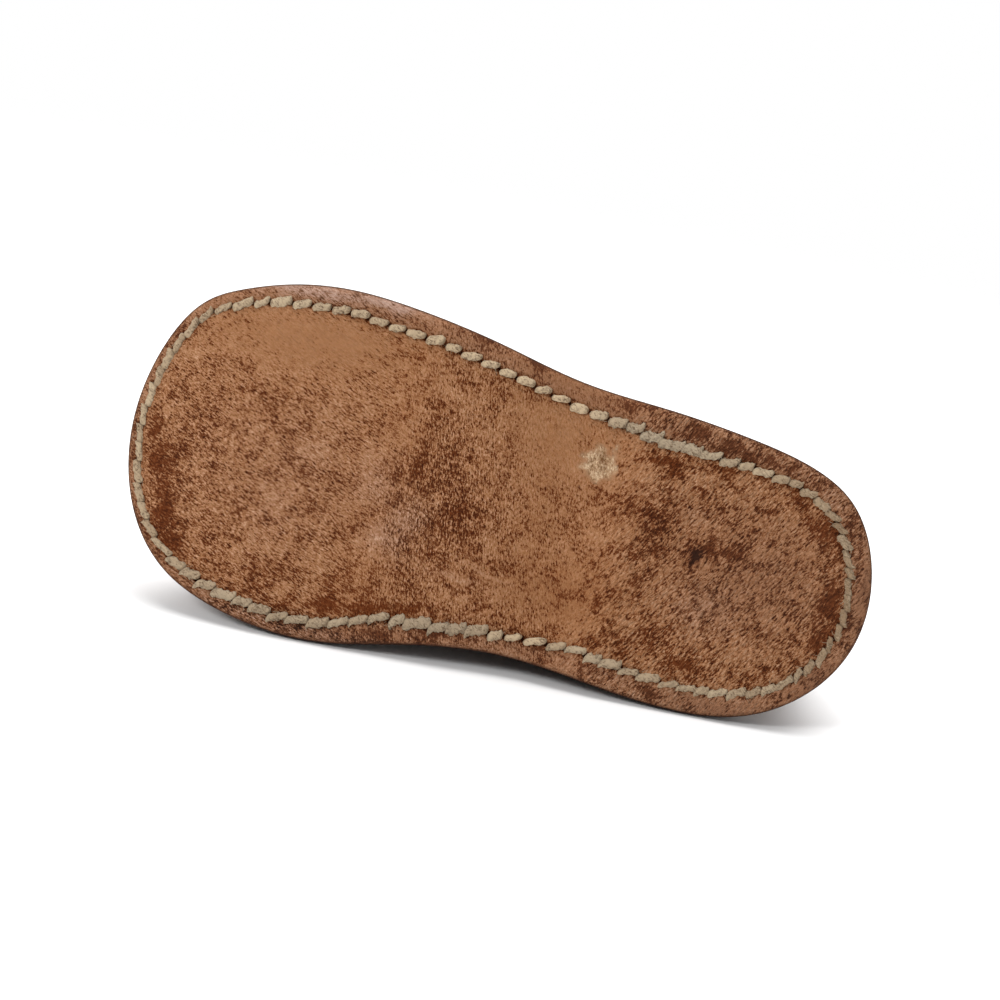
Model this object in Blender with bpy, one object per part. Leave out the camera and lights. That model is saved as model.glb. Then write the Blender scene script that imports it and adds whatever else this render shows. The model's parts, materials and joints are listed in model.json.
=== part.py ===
"""Left shoe of a toddler's pair: a stitched-down leather slip-on, lying on its inner side.

Shoe frame while building: x from heel to toe, y to the outer (lateral) side, z up from the tread plane.
An empty then lays the finished shoe on the floor, toe towards -X and sole towards -Y.
"""
import math
from collections import namedtuple

import bmesh
import bpy
import numpy as np
from mathutils import Matrix, Vector

MM = 0.001

# Sole
SOLE_LENGTH = 144 * MM
SOLE_THICKNESS = 3.6 * MM
HEEL_RADIUS = 26 * MM
TOE_RADIUS = 40 * MM
LOWER_EDGE_ROUND = 1.4 * MM
UPPER_EDGE_ROUND = 0.5 * MM
SOLE_FACE_INSET = 6 * MM
TOE_SPRING = 7 * MM
ARCH_LIFT = 1.6 * MM
HEEL_SPRING = 1.2 * MM
HEEL_FLAT = (0.07, 0.30)
TREAD_FLAT = (0.56, 0.72)

# Upper
WALL = 1.6 * MM
GAP = 0.3 * MM
FLANGE_INSET = 0.7 * MM
FLANGE_FILLET = 1.6 * MM
BINDING_DEPTH = 5 * MM
BINDING_THICKNESS = 0.8 * MM
STAY_THICKNESS = 1.0 * MM
STAY_COLUMNS = 4
STAY_TOP_SHARE = 0.9
INSOLE_THICKNESS = 2.2 * MM
INSOLE_EDGE_ROUND = 0.6 * MM

# Mesh density
POINTS_ROUND = 80
FILLET_STEPS = 3
WALL_STEPS = 12
PATH_SAMPLES = 60
OUTLINE_SAMPLES = 4000

# Half widths of the sole in mm, stations as shares of its length from the heel
Width = namedtuple("Width", "station lateral medial")
WIDTHS = (
    Width(0.05, 18.7, 17.4),
    Width(0.10, 23.2, 23.0),
    Width(0.20, 26.1, 26.9),
    Width(0.32, 27.2, 26.7),
    Width(0.44, 27.8, 26.1),
    Width(0.56, 30.5, 28.6),
    Width(0.68, 32.4, 33.0),
    Width(0.76, 32.5, 33.5),
    Width(0.84, 30.5, 31.7),
    Width(0.91, 26.6, 27.4),
    Width(0.96, 20.9, 20.0),
)

# Walls of the upper: border is the sole left outside the wall, flare and rise its angle and pull at the foot,
# slope and reach the same at the collar. Lengths in mm, angles in degrees
Section = namedtuple(
    "Section", "station border flare rise slope reach collar_x collar_lateral collar_medial collar_z"
)
SECTIONS = (
    Section(0.00, 5.6, 10, 15, 80, 14, 9.5, 0.0, 0.0, 46.0),
    Section(0.10, 5.9, 9, 14, 80, 13, 18.0, 14.8, 13.8, 43.0),
    Section(0.30, 6.2, 8, 11, 80, 10, 43.0, 19.2, 18.0, 37.0),
    Section(0.50, 6.4, 9, 13, 72, 13, 69.0, 19.2, 19.6, 44.0),
    Section(0.72, 6.2, 11, 18, 42, 22, 81.5, 11.5, 11.0, 50.5),
    Section(0.90, 5.6, 12, 22, 25, 29, 83.5, 5.2, 5.0, 51.8),
    Section(1.00, 5.2, 12, 22, 20, 31, 84.0, 0.0, 0.0, 52.2),
)

SOLE_COLOUR = (0.33, 0.145, 0.062, 1.0)
UPPER_COLOUR = (0.11, 0.042, 0.020, 1.0)
LINING_COLOUR = (0.50, 0.34, 0.20, 1.0)


def periodic_spline(knots, values):
    """Smooth closed curve through the values, one row for each knot in [0, 1)."""
    knots = np.array(knots, float)
    values = np.array(values, float)
    count = len(knots)
    steps = np.diff(np.append(knots, knots[0] + 1))
    system = np.zeros((count, count))
    right = np.zeros_like(values)
    for i in range(count):
        before = (i - 1) % count
        after = (i + 1) % count
        system[i, before] += steps[before]
        system[i, i] += 2 * (steps[before] + steps[i])
        system[i, after] += steps[i]
        slope_after = (values[after] - values[i]) / steps[i]
        slope_before = (values[i] - values[before]) / steps[before]
        right[i] = 6 * (slope_after - slope_before)
    bends = np.linalg.solve(system, right)

    def curve(turns):
        turns = np.mod(np.asarray(turns, float) - knots[0], 1) + knots[0]
        i = np.searchsorted(knots, turns, side="right") - 1
        after = (i + 1) % count
        step = steps[i][:, None]
        far = (turns - knots[i])[:, None]
        near = step - far
        bend = (bends[i] * near**3 + bends[after] * far**3) / (6 * step)
        line_near = (values[i] / step - bends[i] * step / 6) * near
        line_far = (values[after] / step - bends[after] * step / 6) * far
        return bend + line_near + line_far

    return curve


def turn_at(station):
    """Share of a turn round the outline, heel 0 and toe one half, of a station on the lateral side."""
    return math.acos(1 - 2 * station) / (2 * math.pi)


def outline_curve():
    """Half width of the sole over the sine of the turn, as a closed curve."""
    knots = [0]
    values = [[math.sqrt(HEEL_RADIUS * SOLE_LENGTH / 2)]]
    for row in WIDTHS:
        knots.append(turn_at(row.station))
        values.append([row.lateral * MM / math.sin(2 * math.pi * knots[-1])])
    knots.append(0.5)
    values.append([math.sqrt(TOE_RADIUS * SOLE_LENGTH / 2)])
    for row in reversed(WIDTHS):
        turn = turn_at(row.station)
        knots.append(1 - turn)
        values.append([row.medial * MM / math.sin(2 * math.pi * turn)])
    return periodic_spline(knots, values)


def outline_points(curve, turns):
    angles = 2 * np.pi * turns
    x = SOLE_LENGTH * (1 - np.cos(angles)) / 2
    y = np.sin(angles) * curve(turns)[:, 0]
    return np.column_stack((x, y))


def even_outline():
    """Turns, points and outward normals, evenly spaced round the sole and starting beside the heel."""
    curve = outline_curve()
    fine_turns = np.linspace(0, 1, OUTLINE_SAMPLES + 1)
    fine = outline_points(curve, fine_turns)
    lengths = np.append(0, np.cumsum(np.linalg.norm(np.diff(fine, axis=0), axis=1)))
    wanted = (np.arange(POINTS_ROUND) + 0.5) / POINTS_ROUND * lengths[-1]
    turns = np.interp(wanted, lengths, fine_turns)
    points = outline_points(curve, turns)
    small = 1 / OUTLINE_SAMPLES
    along = outline_points(curve, turns + small) - outline_points(curve, turns - small)
    along /= np.linalg.norm(along, axis=1)[:, None]
    normals = np.column_stack((-along[:, 1], along[:, 0]))
    return turns, points, normals


def tread_height(x):
    """Height of the sole's lower face: toe spring, arch and a little lift at the back of the heel."""
    station = x / SOLE_LENGTH
    toe = np.clip((station - TREAD_FLAT[1]) / (1 - TREAD_FLAT[1]), 0, 1)
    arch = np.clip((station - HEEL_FLAT[1]) / (TREAD_FLAT[0] - HEEL_FLAT[1]), 0, 1)
    heel = np.clip((HEEL_FLAT[0] - station) / HEEL_FLAT[0], 0, 1)
    return TOE_SPRING * toe**2 + ARCH_LIFT * np.sin(np.pi * arch) ** 2 + HEEL_SPRING * heel**2


def level_ring(points, normals, inset, height):
    """Outline moved in by inset, at a height above the sole's lower face."""
    inset = np.broadcast_to(inset, len(points))
    plan = points - normals * inset[:, None]
    return np.column_stack((plan, tread_height(plan[:, 0]) + height))


def section_table():
    knots = []
    values = []
    for row in SECTIONS:
        knots.append(turn_at(row.station))
        values.append(section_values(row, row.collar_lateral))
    for row in reversed(SECTIONS[1:-1]):
        knots.append(1 - turn_at(row.station))
        values.append(section_values(row, -row.collar_medial))
    return periodic_spline(knots, values)


def section_values(row, collar_y):
    lengths = [row.border, row.rise, row.reach, row.collar_x, collar_y, row.collar_z]
    angles = [row.flare, row.slope]
    return [length * MM for length in lengths] + [math.radians(angle) for angle in angles]


def resample(path, wanted):
    """Points at the wanted lengths along one path."""
    lengths = np.append(0, np.cumsum(np.linalg.norm(np.diff(path, axis=0), axis=1)))
    return np.column_stack([np.interp(wanted(lengths[-1]), lengths, path[:, axis]) for axis in range(3)])


def wall_lengths(total):
    """Even rows up to the binding's lower edge, then its middle and the collar."""
    rows = np.linspace(0, total - BINDING_DEPTH, WALL_STEPS + 1)
    return np.append(rows, [total - BINDING_DEPTH / 2, total])


def upper_surface(turns, points, normals):
    """Outer face of the upper as rows from the flange's edge to the collar, and the border's width."""
    border, rise, reach, collar_x, collar_y, collar_z, flare, slope = section_table()(turns).T
    up = np.array([0, 0, 1])
    out = np.column_stack((normals, np.zeros(len(turns))))
    flange_top = SOLE_THICKNESS + GAP + WALL
    rows = [level_ring(points, normals, FLANGE_INSET, flange_top)]
    for step in range(FILLET_STEPS + 1):
        angle = math.pi / 2 * step / FILLET_STEPS
        inset = border - FLANGE_FILLET * (1 - math.sin(angle))
        height = flange_top + FLANGE_FILLET * (1 - math.cos(angle))
        rows.append(level_ring(points, normals, inset, height))
    foot = rows[-1]
    collar = np.column_stack((collar_x, collar_y, collar_z))
    away = (foot - collar) * [1, 1, 0]
    away /= np.linalg.norm(away, axis=1)[:, None]
    foot_pull = foot + rise[:, None] * (up * np.cos(flare)[:, None] + out * np.sin(flare)[:, None])
    collar_pull = collar + reach[:, None] * (away * np.cos(slope)[:, None] - up * np.sin(slope)[:, None])
    share = np.linspace(0, 1, PATH_SAMPLES)[:, None]
    walls = []
    for i in range(len(turns)):
        path = (
            foot[i] * (1 - share) ** 3
            + foot_pull[i] * 3 * share * (1 - share) ** 2
            + collar_pull[i] * 3 * share**2 * (1 - share)
            + collar[i] * share**3
        )
        walls.append(resample(path, wall_lengths))
    walls = np.array(walls).transpose(1, 0, 2)
    return np.concatenate((rows, walls[1:])), border


def surface_frames(grid):
    """Unit normals out of the upper and unit directions up its rows."""
    round_way = np.roll(grid, -1, axis=1) - np.roll(grid, 1, axis=1)
    up_way = np.gradient(grid, axis=0)
    up_way /= np.linalg.norm(up_way, axis=2)[:, :, None]
    normals = np.cross(up_way, round_way)
    normals /= np.linalg.norm(normals, axis=2)[:, :, None]
    return normals, up_way


def solid(name, rings, closed, material):
    """Solid skinned over rings of equal size: a closed tube of them, or one with both ends filled across."""
    rings = np.array(rings)
    count, size, _ = rings.shape
    mesh = bmesh.new()
    verts = [[mesh.verts.new(point) for point in ring] for ring in rings]
    for row in range(count if closed else count - 1):
        lower = verts[row]
        upper = verts[(row + 1) % count]
        for i in range(size):
            after = (i + 1) % size
            mesh.faces.new((lower[i], lower[after], upper[after], upper[i]))
    if not closed:
        for ring in (verts[0], verts[-1]):
            for i in range(size // 2 - 1):
                mesh.faces.new((ring[i], ring[i + 1], ring[size - 2 - i], ring[size - 1 - i]))
    bmesh.ops.triangulate(mesh, faces=mesh.faces[:])
    bmesh.ops.recalc_face_normals(mesh, faces=mesh.faces[:])
    data = bpy.data.meshes.new(name)
    mesh.to_mesh(data)
    mesh.free()
    data.materials.append(material)
    piece = bpy.data.objects.new(name, data)
    bpy.context.collection.objects.link(piece)
    return piece


def outsole(points, normals, material):
    rings = [level_ring(points, normals, SOLE_FACE_INSET, 0)]
    for angle in np.radians((0, 30, 60, 90)):
        inset = LOWER_EDGE_ROUND * (1 - math.sin(angle))
        height = LOWER_EDGE_ROUND * (1 - math.cos(angle))
        rings.append(level_ring(points, normals, inset, height))
    for angle in np.radians((0, 45, 90)):
        inset = UPPER_EDGE_ROUND * (1 - math.cos(angle))
        height = SOLE_THICKNESS - UPPER_EDGE_ROUND * (1 - math.sin(angle))
        rings.append(level_ring(points, normals, inset, height))
    rings.append(level_ring(points, normals, SOLE_FACE_INSET, SOLE_THICKNESS))
    return solid("outsole", rings, False, material)


def insole(points, normals, border, material):
    edge = border + WALL + GAP
    low = SOLE_THICKNESS + GAP
    top = low + INSOLE_THICKNESS
    rings = [
        level_ring(points, normals, edge, low),
        level_ring(points, normals, edge, top - INSOLE_EDGE_ROUND),
        level_ring(points, normals, edge + INSOLE_EDGE_ROUND, top),
        level_ring(points, normals, edge + SOLE_FACE_INSET, top),
    ]
    return solid("insole", rings, False, material)


def upper(grid, frames, material):
    inner = grid - WALL * frames
    return solid("upper", np.concatenate((grid, inner[::-1])), True, material)


def collar_binding(grid, frames, up_way, material):
    """Strip folded over the collar, outside, top and inside."""

    def fold(row, out, above=0.0):
        return grid[row] + out * frames[row] + above * up_way[row]

    near = GAP
    far = GAP + BINDING_THICKNESS
    rings = [fold(-3, far), fold(-2, far), fold(-1, far)]
    rings += [fold(-1, 0, far), fold(-1, -WALL, far)]
    rings += [fold(-1, -WALL - far), fold(-2, -WALL - far), fold(-3, -WALL - far)]
    rings += [fold(-3, -WALL - near), fold(-2, -WALL - near), fold(-1, -WALL - near)]
    rings += [fold(-1, -WALL, near), fold(-1, 0, near)]
    rings += [fold(-1, near), fold(-2, near), fold(-3, near)]
    return solid("collar_binding", rings, True, material)


def back_stay(grid, frames, material):
    """Strip up the back seam, from the flange to just under the binding."""
    columns = np.arange(-(STAY_COLUMNS // 2), STAY_COLUMNS // 2)
    first = FILLET_STEPS + 1
    skin = grid[first:-2, columns].copy()
    skin[-1] = skin[-2] + STAY_TOP_SHARE * (skin[-1] - skin[-2])
    out = frames[first:-2, columns]
    near = skin + GAP * out
    far = skin + (GAP + STAY_THICKNESS) * out
    loops = np.concatenate((near, far[::-1])).transpose(1, 0, 2)
    return solid("back_stay", loops, False, material)


def mass_centre(pieces):
    """Centre of all the solids' volume."""
    volume = 0.0
    moment = Vector((0, 0, 0))
    for piece in pieces:
        points = [vertex.co for vertex in piece.data.vertices]
        for face in piece.data.polygons:
            a, b, c = (points[i] for i in face.vertices)
            part = a.dot(b.cross(c)) / 6
            volume += part
            moment += part * (a + b + c) / 4
    return moment / volume


def resting_face(pieces):
    """Downward direction, in the shoe's frame, of the hull face that carries the shoe on its inner side."""
    centre = mass_centre(pieces)
    hull = bmesh.new()
    for piece in pieces:
        for vertex in piece.data.vertices:
            hull.verts.new(vertex.co)
    bmesh.ops.convex_hull(hull, input=hull.verts[:], use_existing_faces=False)
    hull.normal_update()
    best = None
    for face in hull.faces:
        down = face.normal
        if down.y > -0.8:
            continue
        corners = [vertex.co for vertex in face.verts]
        below = centre - down * (centre - corners[0]).dot(down)
        sides = []
        for i, corner in enumerate(corners):
            edge = corners[(i + 1) % len(corners)] - corner
            sides.append(edge.cross(below - corner).dot(down))
        if min(sides) >= 0:
            best = down.copy()
    hull.free()
    return best


def lay_down(pieces):
    """Parents the shoe to an empty that puts the resting face on the floor and the toe towards -X."""
    up = -resting_face(pieces)
    toe = Vector((1, 0, 0))
    toe = (toe - up * toe.dot(up)).normalized()
    side = up.cross(-toe)
    turned = Matrix((-toe, side, up)).to_4x4()
    corners = [turned @ vertex.co for piece in pieces for vertex in piece.data.vertices]
    low = [min(corner[axis] for corner in corners) for axis in range(3)]
    high = [max(corner[axis] for corner in corners) for axis in range(3)]
    middle = Vector(((low[0] + high[0]) / 2, (low[1] + high[1]) / 2, low[2]))
    rest = bpy.data.objects.new("rest", None)
    bpy.context.collection.objects.link(rest)
    rest.matrix_world = Matrix.Translation(-middle) @ turned
    for piece in pieces:
        piece.parent = rest


def leather(name, colour):
    material = bpy.data.materials.new(name)
    material.diffuse_color = colour
    material.use_nodes = True
    shader = material.node_tree.nodes["Principled BSDF"]
    shader.inputs["Base Color"].default_value = colour
    shader.inputs["Roughness"].default_value = 0.6
    return material


def main():
    for old in list(bpy.data.objects):
        bpy.data.objects.remove(old)
    sole_leather = leather("sole_leather", SOLE_COLOUR)
    upper_leather = leather("upper_leather", UPPER_COLOUR)
    lining_leather = leather("lining_leather", LINING_COLOUR)
    turns, points, normals = even_outline()
    grid, border = upper_surface(turns, points, normals)
    frames, up_way = surface_frames(grid)
    pieces = [
        outsole(points, normals, sole_leather),
        upper(grid, frames, upper_leather),
        insole(points, normals, border, lining_leather),
        collar_binding(grid, frames, up_way, upper_leather),
        back_stay(grid, frames, upper_leather),
    ]
    lay_down(pieces)


main()
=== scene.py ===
"""Dressed model of a toddler's left shoe: worn sole with its cord stitch, slip-on upper, lining and seams.

Shoe frame: x from heel to toe, y to the outer (lateral) side, z up from the tread plane, in metres.
Every piece is worked out in that frame and laid on the floor by one matrix, found from the tread mounts.
"""

import json
import math
from collections import namedtuple

import bmesh
import bpy
import numpy as np
from mathutils import Matrix, Vector


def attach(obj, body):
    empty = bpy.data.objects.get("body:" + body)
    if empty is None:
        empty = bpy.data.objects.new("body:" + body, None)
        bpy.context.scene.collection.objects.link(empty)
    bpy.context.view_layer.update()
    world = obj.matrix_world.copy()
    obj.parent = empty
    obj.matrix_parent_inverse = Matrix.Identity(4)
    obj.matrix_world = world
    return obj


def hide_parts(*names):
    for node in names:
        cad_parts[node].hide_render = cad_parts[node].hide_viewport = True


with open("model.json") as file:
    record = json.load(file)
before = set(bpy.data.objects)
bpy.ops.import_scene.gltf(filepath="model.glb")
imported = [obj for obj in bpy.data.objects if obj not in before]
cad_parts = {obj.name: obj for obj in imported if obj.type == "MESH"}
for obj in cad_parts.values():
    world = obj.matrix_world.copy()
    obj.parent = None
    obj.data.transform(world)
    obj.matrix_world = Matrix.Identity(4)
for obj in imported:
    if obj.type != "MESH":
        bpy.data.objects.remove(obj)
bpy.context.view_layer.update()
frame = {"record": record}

MM = 0.001
UP = np.array([0.0, 0.0, 1.0])

# Sole, as in the CAD model
SOLE_LENGTH = 144 * MM
SOLE_THICKNESS = 3.6 * MM
HEEL_RADIUS = 26 * MM
TOE_RADIUS = 40 * MM
LOWER_EDGE_ROUND = 1.4 * MM
UPPER_EDGE_ROUND = 0.5 * MM
TOE_SPRING = 7 * MM
ARCH_LIFT = 1.6 * MM
HEEL_SPRING = 1.2 * MM
HEEL_FLAT = (0.07, 0.30)
TREAD_FLAT = (0.56, 0.72)
HEEL_MOUNT = 0.185

# Upper, as in the CAD model
WALL = 1.6 * MM
GAP = 0.3 * MM
FLANGE_INSET = 0.7 * MM
FLANGE_FILLET = 1.6 * MM
BINDING_DEPTH = 5 * MM
BINDING_THICKNESS = 0.8 * MM
STAY_THICKNESS = 1.0 * MM
INSOLE_THICKNESS = 2.2 * MM
INSOLE_EDGE_ROUND = 0.6 * MM

# Layers of the upper's wall
LEATHER = 1.1 * MM
LINING_GAP = 0.05 * MM

# Sole stitch
STITCH_PITCH = 3.75 * MM
HEEL_CROWDING = 0.35
HEEL_CROWDED = 24 * MM
HOLE_JITTER = 0.14
CHANNEL_DEPTH = 0.35 * MM
CHANNEL_WIDTH = 1.2 * MM
HOLE_DEPTH = 0.8 * MM
HOLE_RADIUS = 0.5 * MM
CORD_SEAT = 0.6
FLANGE_STITCH_SHARE = 0.72
FLANGE_WEAR = (0.2, 0.1, 0.2)
FIBRES_PER_STITCH = 6
FIBRE_WIDTH = 0.1 * MM
FIBRE_LENGTHS = (0.5 * MM, 1.4 * MM)
FIBRE_SPREAD = 0.45
FIBRE_LIFT = 0.1 * MM
CORD_PLIES = 3
CORD_GROOVE = 0.22
CORD_SPIN = 2.2
Cord = namedtuple("Cord", "width height sink slant curl")
SOLE_CORD = Cord(1.65 * MM, 1.3 * MM, 0.9 * MM, 0.5 * MM, 1.0 * MM)
FLANGE_CORD = Cord(1.4 * MM, 1.0 * MM, 0.9 * MM, 0.3 * MM, 0.0)
SEAM_CORD = Cord(0.5 * MM, 0.4 * MM, 0.5 * MM, 0.04 * MM, 0.0)

# Fine seams
SEAM_PITCH = 2.4 * MM
SEAM_FILL = 0.86
SEAM_SPAN = 0.4 * MM
BINDING_SEAM_UP = 1.3 * MM
STAY_HALF_WIDTH = 6.2 * MM
STAY_TOP_GAP = 0.5 * MM
STAY_SEAM_SHARE = 0.78
STAY_SEAM_ENDS = (0.04, 0.96)
STAY_STITCHES = 14

# Low relief: height and size of soft bumps, and the seed of their noise
Waves = namedtuple("Waves", "height size seed")
MARK_WAVES = (Waves(0.5 * MM, 2.5 * MM, 11), Waves(0.5 * MM, 2.5 * MM, 12))
SCAR_OUTLINE = Waves(0.2, 1.2 * MM, 21)
BROAD_WEAR = Waves(0.10 * MM, 9 * MM, 31)
FINE_WEAR = Waves(0.05 * MM, 2.2 * MM, 32)
SCAR_WAVES = Waves(0.12 * MM, 0.9 * MM, 33)
CREASE_WAVES = Waves(0.6 * MM, 7 * MM, 51)
UPPER_WAVES = Waves(0.12 * MM, 8 * MM, 61)
PUCKER_WAVES = Waves(0.06 * MM, 0.06, 71)
PUCKERS = 44
SCAR_DEPTH = 0.18 * MM
CREASE_RISE = (16 * MM, 26 * MM)
CREASE_RIDGE = 0.45
CREASE_RIDGE_AT = 1.7
BINDING_TURN_IN = 0.3 * MM

# Mesh density
OUTLINE_SAMPLES = 4000
COLLAR_SAMPLES = 1600
TURN_STEP = 1e-4
SOLE_LONG = 260
SOLE_WIDE = 100
SOLE_RING_STEP = 0.45 * MM
SOLE_RING_DEPTH = 11 * MM
INSOLE_LONG = 120
INSOLE_WIDE = 46
UPPER_POINTS = 320
WALL_STEPS = 60
BINDING_STEPS = 12
STAY_COLUMNS = 29
STAY_ROWS = 50
PATH_SAMPLES = 160
CORD_RINGS = 24
CORD_SIDES = 14
FIBRE_RINGS = 5
FIBRE_SIDES = 4

# Picture
PHOTO_AXIS = math.radians(16)
FRAME_WIDTH = 187.4 * MM
FRAME_CENTRE = (72.4 * MM, 2.1 * MM)
BACKDROP_WAY = (0, 0.97, -0.22)
BACKDROP_REACH = (-0.6, 0.3)
BACKDROP_DIM = 0.3
FLOOR_HALF = 1.5
FLOOR_FADE = (0.16, 0.9)
LENS = 85
SENSOR = 36
LIGHT_AIM = (0, 0, 0.03)
Light = namedtuple("Light", "name place size power")
LIGHTS = (
    Light("key", (-0.53, -0.68, 0.52), 0.3, 5.4),
    Light("fill", (0.6, -0.6, 0.35), 0.6, 0.6),
    Light("back", (0.0, 0.3, 1.2), 1.6, 24),
)

# Half widths of the sole in mm, stations as shares of its length from the heel
Width = namedtuple("Width", "station lateral medial")
WIDTHS = (
    Width(0.05, 18.7, 17.4),
    Width(0.10, 23.2, 23.0),
    Width(0.20, 26.1, 26.9),
    Width(0.32, 27.2, 26.7),
    Width(0.44, 27.8, 26.1),
    Width(0.56, 30.5, 28.6),
    Width(0.68, 32.4, 33.0),
    Width(0.76, 32.5, 33.5),
    Width(0.84, 30.5, 31.7),
    Width(0.91, 26.6, 27.4),
    Width(0.96, 20.9, 20.0),
)

# Walls of the upper, in mm and degrees
Section = namedtuple(
    "Section", "station border flare rise slope reach collar_x collar_lateral collar_medial collar_z"
)
SECTIONS = (
    Section(0.00, 5.6, 10, 15, 80, 14, 9.5, 0.0, 0.0, 46.0),
    Section(0.10, 5.9, 9, 14, 80, 13, 18.0, 14.8, 13.8, 43.0),
    Section(0.30, 6.2, 8, 11, 80, 10, 43.0, 19.2, 18.0, 37.0),
    Section(0.50, 6.4, 9, 13, 72, 13, 69.0, 19.2, 19.6, 44.0),
    Section(0.72, 6.2, 11, 18, 42, 22, 81.5, 11.5, 11.0, 50.5),
    Section(0.90, 5.6, 12, 22, 25, 29, 83.5, 5.2, 5.0, 51.8),
    Section(1.00, 5.2, 12, 22, 20, 31, 84.0, 0.0, 0.0, 52.2),
)

# Distance of the stitch from the sole's edge in mm, and how worn flat, frayed and soiled its cord is, 0 to 1
Seam = namedtuple(
    "Seam",
    "station lateral medial worn_lateral worn_medial frayed_lateral frayed_medial soil_lateral soil_medial",
)
SEAMS = (
    Seam(0.00, 4.4, 4.4, 0.9, 0.9, 0.5, 0.5, 0.8, 0.8),
    Seam(0.08, 4.7, 4.2, 0.7, 0.9, 0.5, 0.5, 0.6, 0.5),
    Seam(0.18, 4.9, 4.6, 0.4, 0.9, 0.4, 0.5, 0.3, 0.2),
    Seam(0.30, 6.0, 5.0, 0.2, 0.7, 1.0, 0.6, 0.2, 0.2),
    Seam(0.37, 5.4, 4.7, 0.0, 0.4, 0.8, 0.5, 0.1, 0.1),
    Seam(0.43, 4.7, 4.0, 0.0, 0.0, 0.0, 0.0, 0.0, 0.0),
    Seam(0.50, 4.6, 3.6, 0.0, 0.2, 0.0, 1.0, 0.0, 0.3),
    Seam(0.59, 4.6, 4.4, 0.0, 0.2, 0.1, 0.8, 0.1, 0.2),
    Seam(0.69, 4.7, 3.8, 0.1, 0.3, 0.2, 0.8, 0.1, 0.2),
    Seam(0.86, 3.5, 2.9, 0.4, 0.5, 0.4, 0.6, 0.1, 0.2),
    Seam(0.94, 2.7, 2.4, 0.7, 0.8, 0.35, 0.4, 0.2, 0.3),
    Seam(1.00, 2.1, 2.1, 0.9, 0.9, 0.3, 0.3, 0.3, 0.3),
)

# Worn places of the sole in mm and degrees, and what they change: dark finish kept, tone, contrast and grey;
# two rows paint a sheen of light on the lateral toe border
Wear = namedtuple("Wear", "x y long wide kept tone rough grey turn", defaults=(0, 0, 0, 0))
WEAR = (
    Wear(120, 20.5, 16, 6.5, -0.52, 0.01, -0.7),
    Wear(106, 23, 11, 4, -0.34, 0, -0.5, turn=-8),
    Wear(113, -4, 18, 15, -0.02, -0.03, 0, 0.15),
    Wear(113, -12, 4, 6, -0.14, 0.03, 0, 0.1),
    Wear(121, -16, 4, 4, 0.16, -0.02, 0.1),
    Wear(104, -12, 4.5, 4, 0.14, -0.02, 0.1),
    Wear(109, 0, 4.5, 3, -0.1, 0.03, 0, 0.1),
    Wear(132, -12, 6, 14, 0.34, -0.05, 0.15),
    Wear(97, 24, 4, 2.2, 0.2),
    Wear(88, -6, 3.6, 3.2, -0.16, 0.03, 0.3, 0.4),
    Wear(95, -1, 4, 5, -0.1, 0.02, 0.3, 0.3),
    Wear(91, -11, 4, 3, -0.12, 0.03, 0.3, 0.4),
    Wear(83, -1, 9, 14, 0.32, -0.08, 0.35),
    Wear(78, -4, 3.5, 4.5, 0.18, -0.02),
    Wear(89, 4.6, 2.2, 3, 0.18, -0.02),
    Wear(91, -22, 9, 3.5, 0.3, -0.03, turn=-10),
    Wear(116, -25, 13, 3.5, 0.25, -0.03, turn=18),
    Wear(65, 17, 10, 9, -0.48, 0, -0.6),
    Wear(68, 28, 14, 2.5, -0.22, -0.04, -0.4, turn=8),
    Wear(63, 2, 5, 8, -0.12, -0.02, -0.35),
    Wear(58, -12, 13, 7, -0.05, -0.09, -0.4),
    Wear(77, -13.9, 7, 0.5, -0.3, 0.1, -0.3, 0.2, turn=5),
    Wear(70.7, -11.9, 5.5, 0.5, -0.3, 0.1, -0.3, 0.2, turn=12),
    Wear(38, 4, 14, 12, 0.1, -0.04, -0.1, 0.1),
    Wear(50, 4, 3.5, 2.6, -0.12),
    Wear(43, 5, 4.2, 3.4, 0.3, -0.1),
    Wear(45, 0, 4.2, 1.8, 0.2, turn=-16),
    Wear(42, 12, 3, 1.8, 0.18, turn=-16),
    Wear(36, 9.5, 2.8, 2, -0.15, 0.02, 0, 0.1),
    Wear(34.6, 2.1, 1.7, 1.3, 0.7, -0.55, -0.6, 0.5, turn=-16),
    Wear(19, 1, 14, 12, -0.06, -0.08, -0.25, 0.35),
    Wear(30, -7, 6, 5, -0.05, 0, 0, 0.3),
    Wear(36, -15.5, 7, 3, 0.35, -0.03, turn=-5),
    Wear(8, 2, 2.5, 12, 0.25),
    Wear(1.5, 6, 1.6, 10, -0.4, -0.1, -0.6, 0.3),
    Wear(6, -16, 7, 4, -0.4, -0.1, -0.6, 0.3, turn=-50),
    Wear(21, -24.5, 11, 2.2, -0.4, -0.06, -0.55, 0.3, turn=-4),
    # Painted sheen: these two rows lighten and grey the lateral toe border as if it caught light where it
    # curves away
    Wear(118, 30, 11, 1.5, -0.2, 0.2, -0.4, 0.9, turn=-6),
    Wear(102, 32, 6, 1.4, -0.2, 0.2, -0.4, 0.9),
    Wear(97, -31.5, 24, 2.2, 0.1, -0.17, 1, 0.3),
)

# The same four values for the sole's plain face, and their changes in other places
Face = namedtuple("Face", "kept rough grey tone")
PLAIN = Face(0.37, 1.0, 0.0, 0.63)
PATCH = Face(0.7, -0.35, 0.0, -0.04)
BORDER = Face(0.08, -0.1, 0.35, -0.03)
CHANNEL = Face(0.1, 0.0, 0.0, 0.0)
# In the stitch holes dark finish is kept, and their lower tone is painted shade in the holes
HOLE = Face(0.8, 0.0, 0.0, -0.3)

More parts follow.
